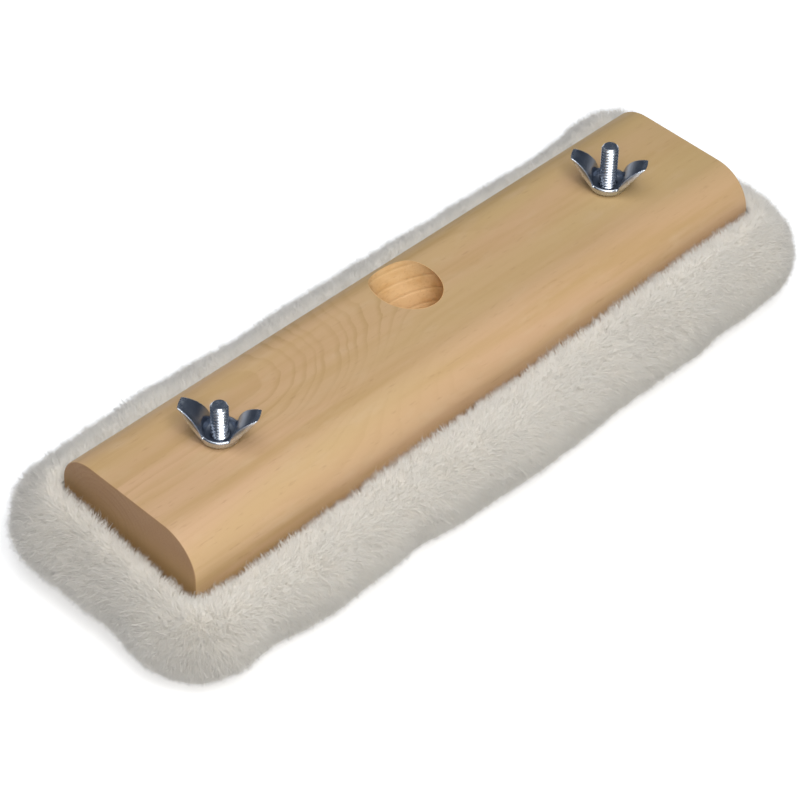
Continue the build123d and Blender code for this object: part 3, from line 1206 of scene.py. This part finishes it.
def make_cloth(surface, tape, thread, brass):
    """The canvas on top of the pad, its bound edge, the stitches and the eyelets."""
    holes = [sum(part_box(f"eyelet_{name}"), Vector()) / 2 for name in ENDS]
    cloth = make_canvas(surface, holes)
    binding = make_binding(tape)
    stitches = make_stitches(thread)
    eyelets = [make_eyelet(name, centre, brass) for name, centre in zip(ENDS, holes)]


def make_stage():
    bpy.ops.mesh.primitive_plane_add(size=8.0, location=(0, 0, -0.2 * MM))
    floor = bpy.context.object
    floor.name = "floor"
    made, _, shader = material("pale_floor")
    shader.inputs["Base Color"].default_value = (*FLOOR, 1.0)
    shader.inputs["Roughness"].default_value = 0.9
    shader.inputs["Emission Color"].default_value = (1.0, 1.0, 1.0, 1.0)
    shader.inputs["Emission Strength"].default_value = FLOOR_GLOW
    floor.data.materials.append(made)


def area_light(name, place, aim, size, power, colour=(1.0, 1.0, 1.0)):
    lamp = bpy.data.lights.new(name, "AREA")
    lamp.shape = "RECTANGLE"
    lamp.size, lamp.size_y = size
    lamp.energy = power
    lamp.color = colour
    made = bpy.data.objects.new(name, lamp)
    bpy.context.scene.collection.objects.link(made)
    made.location = place
    made.rotation_euler = (Vector(aim) - Vector(place)).to_track_quat("-Z", "Y").to_euler()


def make_light():
    world = bpy.data.worlds.new("studio")
    world.use_nodes = True
    sky = world.node_tree.nodes["Background"]
    sky.inputs["Color"].default_value = (*SKY, 1.0)
    sky.inputs["Strength"].default_value = SKY_STRENGTH
    bpy.context.scene.world = world
    for light in LIGHTS:
        area_light(*light)


def make_camera():
    azimuth, elevation, roll = (radians(a) for a in (CAMERA_AZIMUTH, CAMERA_ELEVATION, CAMERA_ROLL))
    back = Vector((sin(azimuth) * cos(elevation), -cos(azimuth) * cos(elevation), sin(elevation)))
    right = Vector((cos(azimuth), sin(azimuth), 0))
    up = back.cross(right)
    across = right * cos(roll) + up * sin(roll)
    above = up * cos(roll) - right * sin(roll)
    lens = bpy.data.cameras.new("camera")
    lens.sensor_width = SENSOR
    lens.lens = LENS
    lens.clip_start, lens.clip_end = CAMERA_CLIP
    made = bpy.data.objects.new("camera", lens)
    bpy.context.scene.collection.objects.link(made)
    turn = Matrix((across, above, back)).transposed().to_4x4()
    made.matrix_world = Matrix.Translation(CAMERA_AIM + back * CAMERA_DISTANCE) @ turn
    bpy.context.scene.camera = made


wood = wood_material()
zinc = zinc_material()
make_block(wood)
for end in ENDS:
    make_bolt(end, zinc)
    make_nut(end, zinc)
make_pile(*make_fleece(fleece_material()))
make_felt(felt_material())
make_cloth(
    woven_material("duck_canvas", *CANVAS, 0.9 * MM),
    woven_material("cotton_tape", *TAPE, 0.5 * MM),
    woven_material("stitch_thread", *THREAD, 0.3 * MM),
    brass_material(),
)
board = frame["nodes"]["backing_board"]
board.data.materials.clear()
board.data.materials.append(board_material())
make_stage()
make_light()
make_camera()
bpy.context.scene.view_settings.view_transform = "Standard"
bpy.context.scene.cycles.diffuse_bounces = 10
